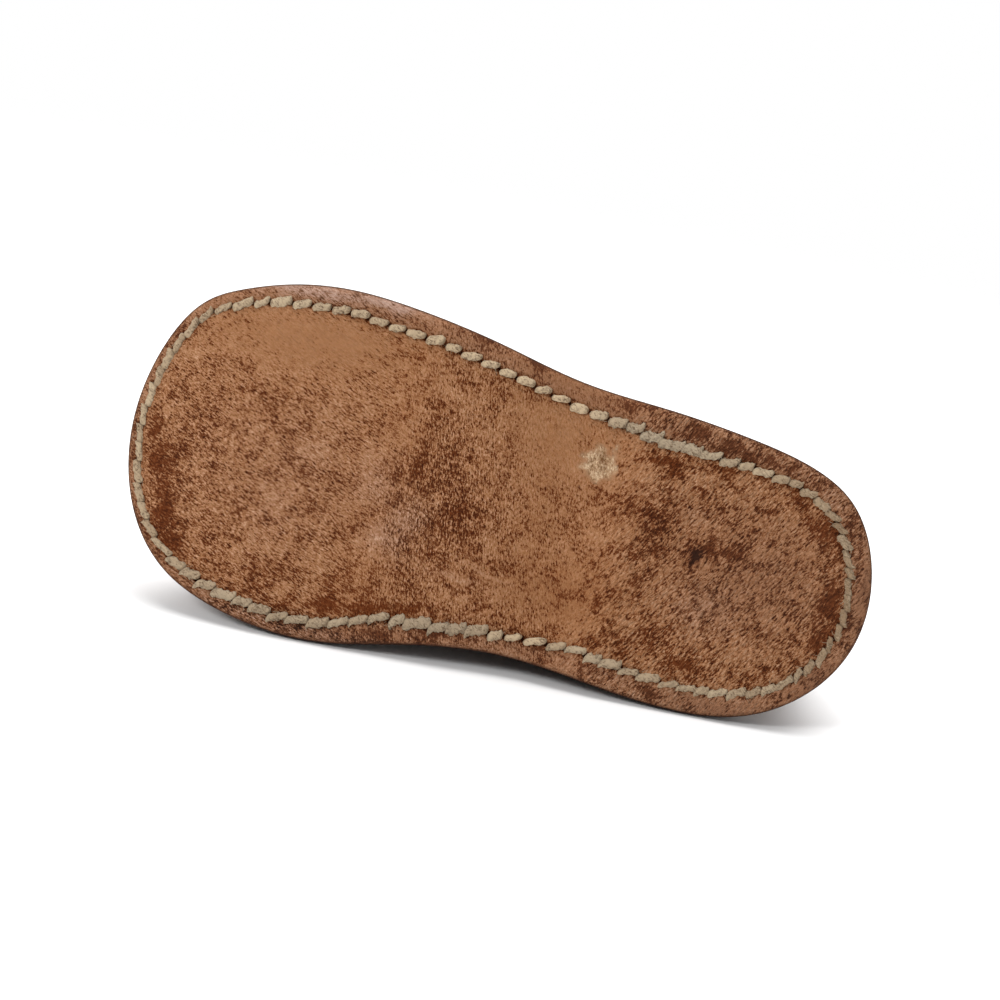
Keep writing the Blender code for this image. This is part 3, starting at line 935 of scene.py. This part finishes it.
def back_stay(material):
    shares = np.linspace(-1, 1, STAY_COLUMNS)
    wall = wall_paths(
        stay_turns(shares), lambda total: np.linspace(0, total - BINDING_DEPTH - STAY_TOP_GAP, STAY_ROWS)
    )
    normals, _ = surface_frames(wall, wrap=False)
    round_edge = np.sqrt(np.clip(1 - np.abs(shares) ** 12, 0, 1))[None, :, None]
    top = wall + (GAP + STAY_THICKNESS * (0.35 + 0.65 * round_edge)) * normals
    low = wall + GAP * normals
    loops = np.concatenate((top, low[::-1])).transpose(1, 0, 2)
    columns, rows, _ = loops.shape
    index = np.arange(columns * rows).reshape(columns, rows)
    faces = np.concatenate((quads(index, wrap_columns=True), across(index[0]), across(index[-1])))
    piece("stay_leather", loops.reshape(-1, 3), faces, material, "back_stay")


def insole_piece(material):
    """Sock that lines the bottom of the shoe, hollowed a little by heel and ball."""
    count = 2 * (INSOLE_LONG + INSOLE_WIDE)
    points, normals = outline_at(np.roll(even_turns(count), INSOLE_WIDE // 2))
    edge = np.roll(SECTION_CURVE(even_turns(count))[:, 0], INSOLE_WIDE // 2) + WALL + GAP
    low = SOLE_THICKNESS + GAP
    top = low + INSOLE_THICKNESS
    rings = np.array([
        level_ring(points, normals, edge + 6 * MM, low),
        level_ring(points, normals, edge, low),
        level_ring(points, normals, edge, top - INSOLE_EDGE_ROUND),
        level_ring(points, normals, edge + 0.3 * INSOLE_EDGE_ROUND, top - 0.3 * INSOLE_EDGE_ROUND),
        level_ring(points, normals, edge + INSOLE_EDGE_ROUND, top),
        level_ring(points, normals, edge + 2 * MM, top),
    ])
    plan = fill_points(rings[-1][:, :2], INSOLE_LONG, INSOLE_WIDE)
    x, y = plan.T
    height = tread_height(x) + top
    pressed = np.zeros_like(x)
    for hollow in HOLLOWS:
        dip = hump((x - hollow.x * MM) / (hollow.long * MM), y / (hollow.wide * MM))
        height -= hollow.depth * MM * dip
        pressed += dip
    inner = np.column_stack((plan, height))
    surface = np.concatenate((rings.reshape(-1, 3), inner))
    trodden = np.append(np.zeros(len(rings) * count), pressed)
    faces = slab_faces(len(rings), INSOLE_LONG, INSOLE_WIDE, -1, 0)
    piece("insole_sock", surface, faces, material, "insole", {"trodden": trodden})


def flange_stitch(material):
    """The same cord where it shows on top of the flange."""

    def frame_at(turns, slide):
        return seam_frame(turns, slide, FLANGE_STITCH_SHARE, SOLE_THICKNESS + GAP + WALL, UP)

    starts, ends = stitch_turns()
    wear = np.outer(FLANGE_WEAR, np.ones(len(starts)))
    stitch_piece("flange_stitch", starts, ends, frame_at, material, FLANGE_CORD, wear, 42)


def fine_seam(name, holes, frame_at, material, seed):
    """Row of thin stitches, each a little shorter than the way from its hole to the next."""
    ends = holes[:-1] + SEAM_FILL * np.diff(holes)
    wear = np.zeros((3, len(ends)))
    stitch_piece(name, holes[:-1], ends, frame_at, material, SEAM_CORD, wear, seed)


def binding_seam(material):
    """Row of thin stitches near the lower edge of the binding."""
    below = BINDING_DEPTH - BINDING_SEAM_UP

    def frame_at(turns, slide):
        wall = wall_paths(turns, lambda total: total - below + SEAM_SPAN * np.array([-1, 0, 1]))
        beside = wall_paths(turns + 1 / OUTLINE_SAMPLES, lambda total: [total - below])
        up_way = unit(wall[2] - wall[0])
        out = unit(np.cross(up_way, beside[0] - wall[1]))
        centre = wall[1] + (GAP + BINDING_THICKNESS) * out + slide[:, None] * up_way
        return centre, up_way, out

    fine = np.linspace(0, 1, COLLAR_SAMPLES + 1)
    lengths = running_length(wall_paths(fine, lambda total: [total - below])[0])
    count = round(lengths[-1] / SEAM_PITCH)
    holes = np.interp(np.arange(count + 1) / count * lengths[-1], lengths, fine)
    fine_seam("binding_seam", holes, frame_at, material, 43)


def stay_seam(name, share, material):
    """Row of thin stitches up one side of the back stay, its turns standing for shares of the height."""
    turn = stay_turns(share)

    def frame_at(shares, slide):
        wall = wall_paths(
            np.array([turn - TURN_STEP, turn, turn + TURN_STEP]),
            lambda total: (total - BINDING_DEPTH - STAY_TOP_GAP) * shares,
        )
        side = unit(wall[:, 2] - wall[:, 0])
        out = np.cross(unit(np.gradient(wall[:, 1], axis=0)), side)
        return wall[:, 1] + (GAP + STAY_THICKNESS) * out + slide[:, None] * side, side, out

    holes = np.linspace(*STAY_SEAM_ENDS, STAY_STITCHES + 1)
    fine_seam(name, holes, frame_at, material, 44)


# Materials

def tint(red, green, blue):
    """Linear colour from screen values of 0 to 255."""
    colour = []
    for share in (red / 255, green / 255, blue / 255):
        colour.append(share / 12.92 if share < 0.04045 else ((share + 0.055) / 1.055) ** 2.4)
    return colour + [1.0]


class Look:
    """Node graph of one material, built by calls that give back sockets."""

    def __init__(self, name):
        self.material = bpy.data.materials.new(name)
        self.material.use_nodes = True
        self.tree = self.material.node_tree
        self.shader = self.tree.nodes["Principled BSDF"]
        self.place = self.node("ShaderNodeAttribute", attribute_name="place").outputs["Vector"]

    def node(self, kind, **settings):
        made = self.tree.nodes.new(kind)
        for key, value in settings.items():
            setattr(made, key, value)
        return made

    def feed(self, socket, value):
        if isinstance(value, bpy.types.NodeSocket):
            self.tree.links.new(value, socket)
        else:
            socket.default_value = value

    def shade(self, **inputs):
        for key, value in inputs.items():
            self.feed(self.shader.inputs[key.replace("_", " ")], value)

    def wire(self, kind, inputs, output=0, **settings):
        """One output of a new node, with its inputs linked or set."""
        made = self.node(kind, **settings)
        for key, value in inputs.items():
            self.feed(made.inputs[key], value)
        return made.outputs[output]

    def math(self, operation, first, second):
        return self.wire("ShaderNodeMath", {0: first, 1: second}, operation=operation)

    def add(self, *terms):
        total = terms[0]
        for term in terms[1:]:
            total = self.math("ADD", total, term)
        return total

    def scaled(self, value, gain, centre=0.0):
        """Gain times the value's distance from a centre."""
        inputs = {0: value, 1: gain, 2: -gain * centre}
        return self.wire("ShaderNodeMath", inputs, operation="MULTIPLY_ADD")

    def turned(self, direction, stretch):
        """Places stretched along a direction in the tread, in degrees from the toe to the outer side."""
        rotation = (0, 0, -math.radians(direction))
        turn = self.wire("ShaderNodeMapping", {"Vector": self.place, "Rotation": rotation})
        return self.wire("ShaderNodeMapping", {"Vector": turn, "Scale": (1 / stretch, 1, 1)})

    def along(self):
        """Distance from the heel."""
        return self.wire("ShaderNodeSeparateXYZ", {0: self.place}, "X")

    def noise(self, size, detail=2.0, rough=0.5, vector=None):
        inputs = {"Vector": vector or self.place, "Scale": 1 / size, "Detail": detail, "Roughness": rough}
        return self.wire("ShaderNodeTexNoise", inputs)

    def cells(self, size):
        inputs = {"Vector": self.place, "Scale": 1 / size, "Smoothness": 0.6}
        return self.wire("ShaderNodeTexVoronoi", inputs, "Distance", feature="SMOOTH_F1")

    def attribute(self, name):
        return self.wire("ShaderNodeAttribute", {}, "Fac", attribute_name=name)

    def ramp(self, factor, stops):
        """Colours from stops of position, red, green and blue."""
        made = self.node("ShaderNodeValToRGB")
        points = made.color_ramp.elements
        while len(points) < len(stops):
            points.new(0.5)
        for point, (position, *colour) in zip(points, stops):
            point.position = position
            point.color = tint(*colour)
        self.feed(made.inputs[0], factor)
        return made.outputs[0]

    def band(self, value, low, high):
        """0 up to low, 1 from high, smooth between, or the other way round where low is above high."""
        inputs = {"Value": value, "From Min": low, "From Max": high}
        return self.wire("ShaderNodeMapRange", inputs, interpolation_type="SMOOTHSTEP")

    def between(self, factor, first, second):
        """Mix of two numbers, which are the mix node's sockets 2 and 3."""
        return self.wire("ShaderNodeMix", {0: factor, 2: first, 3: second}, data_type="FLOAT")

    def blend(self, factor, first, second):
        """Mix of two colours, which are the mix node's sockets 6 and 7."""
        return self.wire("ShaderNodeMix", {0: factor, 6: first, 7: second}, 2, data_type="RGBA")

    def bump(self, height, depth, strength=1.0):
        inputs = {"Height": height, "Distance": depth, "Strength": strength}
        self.shade(Normal=self.wire("ShaderNodeBump", inputs))


def sole_look():
    """Scuffed sole leather: worn tan with islands of its dark red finish and a short slanting nap; painted
    shade on its side edge.
    """
    look = Look("sole_leather")
    along = look.along()
    toe_half = look.band(along, 84 * MM, 104 * MM)
    heel_half = look.band(along, 62 * MM, 44 * MM)
    toe_nap = look.noise(0.30 * MM, 3, 0.85, look.turned(20, 3.0))
    ball_nap = look.noise(0.30 * MM, 3, 0.85, look.turned(74, 2.4))
    heel_nap = look.noise(0.36 * MM, 3, 0.85, look.turned(119, 2.6))
    nap = look.between(heel_half, look.between(toe_half, ball_nap, toe_nap), heel_nap)
    toe_ridge = look.noise(0.55 * MM, 2, 0.6, look.turned(20, 3.0))
    heel_ridge = look.noise(0.75 * MM, 2, 0.6, look.turned(119, 2.2))
    ridge = look.between(heel_half, toe_ridge, heel_ridge)
    cloud = look.noise(5 * MM, 4, 0.75)
    mottle = look.noise(2.2 * MM, 4, 0.65)
    patch = look.math("MULTIPLY", look.scaled(mottle, 1.0, 0.5), look.between(heel_half, 0.6, 2.0))
    kept = look.add(
        look.attribute("kept"), patch, look.scaled(cloud, 2.2, 0.5), look.scaled(nap, 3.6, 0.5),
        look.scaled(ridge, -1.8, 0.5),
    )
    island = look.band(kept, 0.28, 0.90)
    grain = look.add(look.scaled(cloud, -0.4, 0.5), look.scaled(nap, -1.7, 0.5))
    grain = look.math("MULTIPLY", grain, look.attribute("rough"))
    level = look.add(look.attribute("tone"), grain, look.scaled(island, -0.38))
    tan = look.ramp(level, (
        (0.0, 56, 24, 8),
        (0.2, 94, 45, 17),
        (0.4, 121, 73, 43),
        (0.6, 147, 101, 67),
        (0.8, 171, 126, 93),
        (1.0, 198, 160, 130),
    ))
    # Greyed colours, used for grey wear and for the painted sheen on the lateral toe border
    grey_wear_and_sheen = look.ramp(level, (
        (0.0, 48, 32, 24),
        (0.4, 118, 82, 61),
        (0.6, 141, 104, 82),
        (0.8, 166, 132, 114),
        (1.0, 196, 168, 153),
    ))
    colour = look.blend(look.attribute("grey"), tan, grey_wear_and_sheen)
    cream = look.ramp(look.add(mottle, look.scaled(nap, 1.6, 0.5)), (
        (0.25, 104, 70, 44),
        (0.5, 168, 136, 104),
        (0.7, 214, 188, 156),
    ))
    colour = look.blend(look.attribute("scar"), colour, cream)
    # Painted shade: the sole's rounded side edge in dark brown, as if in shadow
    edge_shade = look.ramp(look.add(mottle, look.scaled(nap, 0.8, 0.5)), (
        (0.3, 40, 22, 15),
        (0.6, 66, 40, 28),
        (0.8, 96, 64, 50),
    ))
    colour = look.blend(look.attribute("edge"), colour, edge_shade)
    look.shade(Base_Color=colour, Specular_IOR_Level=0.05, Roughness=look.scaled(island, -0.15, 5.6))
    relief = look.math("MULTIPLY", ridge, look.between(heel_half, 1.2, 2.6))
    look.bump(look.add(relief, look.scaled(nap, -0.4), look.scaled(mottle, 0.5)), 0.8 * MM)
    return look.material


def leather_look(name, dark, middle, light, shine):
    """Smooth dyed leather with fine pebble grain, with painted shade darkening its creases, and rubbed paler
    in places.
    """
    look = Look(name)
    broad = look.noise(16 * MM, 4, 0.6)
    mottle = look.noise(3.5 * MM, 3, 0.6)
    pebble = look.cells(0.95 * MM)
    pores = look.noise(0.4 * MM, 2, 0.6)
    rub = look.math("MULTIPLY", look.attribute("rub"), look.band(mottle, 0.35, 0.65))
    # Painted shade: the colour darkens with the depth of the flex creases
    level = look.add(
        look.scaled(broad, 0.8), look.scaled(mottle, 0.5, 0.5), look.scaled(pebble, 0.25, 0.4),
        look.scaled(look.attribute("crease"), -0.35), look.scaled(rub, 0.4),
    )
    colour = look.ramp(level, ((0.15, *dark), (0.42, *middle), (0.75, *light)))
    look.shade(Base_Color=colour, Specular_IOR_Level=0.45, Coat_Weight=shine, Coat_Roughness=0.35)
    look.shade(Roughness=look.add(look.scaled(mottle, 0.3, -1.2), look.scaled(rub, 0.2)))
    grain = look.add(look.scaled(pebble, 0.8), look.scaled(pores, 0.35), look.scaled(mottle, 0.4))
    look.bump(grain, 0.22 * MM, 0.55)
    return look.material


def lining_look():
    look = Look("lining_leather")
    mottle = look.noise(4 * MM, 4, 0.6)
    nap = look.noise(0.5 * MM, 2, 0.6)
    level = look.add(mottle, look.scaled(nap, 0.4, 0.5), look.scaled(look.attribute("trodden"), -0.16))
    colour = look.ramp(level, (
        (0.2, 112, 84, 58),
        (0.5, 170, 138, 102),
        (0.8, 196, 168, 132),
    ))
    look.shade(Base_Color=colour, Roughness=0.85, Specular_IOR_Level=0.25)
    look.bump(nap, 0.15 * MM, 0.5)
    return look.material


def thread_look(name, clean, grey, soiled, shade):
    """Twisted cord, greyer where it is frayed and stained by the leather where it has worn flat."""
    look = Look(name)
    fibre = look.noise(0.3 * MM, 3, 0.65, look.turned(30, 2))
    patch = look.noise(1.6 * MM, 3, 0.6)
    level = look.add(look.scaled(fibre, 1.6, 0.5), look.scaled(patch, 0.9, -0.05))
    colour = look.blend(look.attribute("grey"), tint(*clean), tint(*grey))
    soil = look.math("MULTIPLY", look.attribute("soil"), look.band(patch, 0.25, 0.55))
    colour = look.blend(soil, colour, tint(*soiled))
    colour = look.blend(look.band(level, 0.62, 0.05), colour, tint(*shade))
    look.shade(Base_Color=colour, Roughness=0.9, Specular_IOR_Level=0.2)
    look.bump(look.add(fibre, look.scaled(patch, 0.3)), 0.35 * MM)
    return look.material


# Stage

def floor_piece():
    """Pale floor that fades into the backdrop."""
    corners = [(x * FLOOR_HALF, y * FLOOR_HALF, 0) for x, y in ((-1, -1), (1, -1), (1, 1), (-1, 1))]
    data = bpy.data.meshes.new("floor")
    data.from_pydata(corners, [], [(0, 1, 2, 3)])
    look = Look("floor_pale")
    distance = look.node("ShaderNodeVectorMath", operation="LENGTH")
    look.feed(distance.inputs[0], look.node("ShaderNodeTexCoord").outputs["Object"])
    fade = look.band(distance.outputs["Value"], *FLOOR_FADE)
    look.shade(Base_Color=(0.86, 0.86, 0.86, 1), Roughness=0.9, Specular_IOR_Level=0.1)
    mix = look.node("ShaderNodeMixShader")
    look.feed(mix.inputs[0], fade)
    look.feed(mix.inputs[1], look.shader.outputs[0])
    look.feed(mix.inputs[2], look.node("ShaderNodeBsdfTransparent").outputs[0])
    look.feed(look.tree.nodes["Material Output"].inputs["Surface"], mix.outputs[0])
    data.materials.append(look.material)
    made = bpy.data.objects.new("floor", data)
    bpy.context.collection.objects.link(made)


def area_light(name, place, size, power):
    """Round soft light aimed at the shoe."""
    data = bpy.data.lights.new(name, "AREA")
    data.shape = "DISK"
    data.size = size
    data.energy = power
    made = bpy.data.objects.new(name, data)
    made.location = place
    made.rotation_euler = (Vector(LIGHT_AIM) - Vector(place)).to_track_quat("-Z", "Y").to_euler()
    bpy.context.collection.objects.link(made)


def backdrop():
    """White behind the shoe, dimmer on the camera's side."""
    world = bpy.data.worlds.new("backdrop")
    bpy.context.scene.world = world
    world.use_nodes = True
    tree = world.node_tree
    place = tree.nodes.new("ShaderNodeTexCoord")
    facing = tree.nodes.new("ShaderNodeVectorMath")
    share = tree.nodes.new("ShaderNodeMapRange")
    ramp = tree.nodes.new("ShaderNodeValToRGB")
    facing.operation = "DOT_PRODUCT"
    facing.inputs[1].default_value = BACKDROP_WAY
    share.inputs["From Min"].default_value, share.inputs["From Max"].default_value = BACKDROP_REACH
    tree.links.new(place.outputs["Generated"], facing.inputs[0])
    tree.links.new(facing.outputs["Value"], share.inputs["Value"])
    tree.links.new(share.outputs[0], ramp.inputs[0])
    ramp.color_ramp.elements[0].color = (BACKDROP_DIM, BACKDROP_DIM, BACKDROP_DIM, 1)
    ramp.color_ramp.elements[1].color = (1.0, 1.0, 1.0, 1)
    tree.links.new(ramp.outputs[0], tree.nodes["Background"].inputs["Color"])


def photo_camera():
    """Square on to the sole, turned so that the shoe lies in the frame as in the photo."""
    toe, lateral, up = (Vector(SHOE.col[i][:3]) for i in range(3))
    right = -math.cos(PHOTO_AXIS) * toe + math.sin(PHOTO_AXIS) * lateral
    top = math.sin(PHOTO_AXIS) * toe + math.cos(PHOTO_AXIS) * lateral
    distance = FRAME_WIDTH * LENS / SENSOR
    target = SHOE @ Vector((*FRAME_CENTRE, 0))
    data = bpy.data.cameras.new("photo")
    data.lens = LENS
    data.sensor_width = SENSOR
    data.clip_start = 0.01
    made = bpy.data.objects.new("photo", data)
    turn = Matrix((right, top, -up)).transposed().to_4x4()
    made.matrix_world = Matrix.Translation(target - up * distance) @ turn
    bpy.context.collection.objects.link(made)
    bpy.context.scene.camera = made


upper_leather = leather_look("upper_leather", (58, 33, 22), (88, 54, 38), (118, 78, 57), 0.12)
binding_leather = leather_look("binding_leather", (44, 25, 18), (66, 39, 28), (92, 58, 43), 0.12)
lining_leather = lining_look()
cord = thread_look("cord", (186, 164, 134), (162, 146, 123), (138, 114, 88), (92, 70, 50))
thread = thread_look("thread", (150, 122, 90), (140, 118, 92), (110, 84, 60), (84, 62, 44))

sole_piece(sole_look())
sole_stitch(cord)
sole_fibres(cord)
upper_pieces(upper_leather, lining_leather)
collar_binding(binding_leather)
back_stay(binding_leather)
insole_piece(lining_leather)
flange_stitch(cord)
binding_seam(thread)
stay_seam("stay_seam_lateral", STAY_SEAM_SHARE, thread)
stay_seam("stay_seam_medial", -STAY_SEAM_SHARE, thread)

floor_piece()
backdrop()
for light in LIGHTS:
    area_light(*light)
bpy.context.scene.view_settings.view_transform = "Standard"
photo_camera()
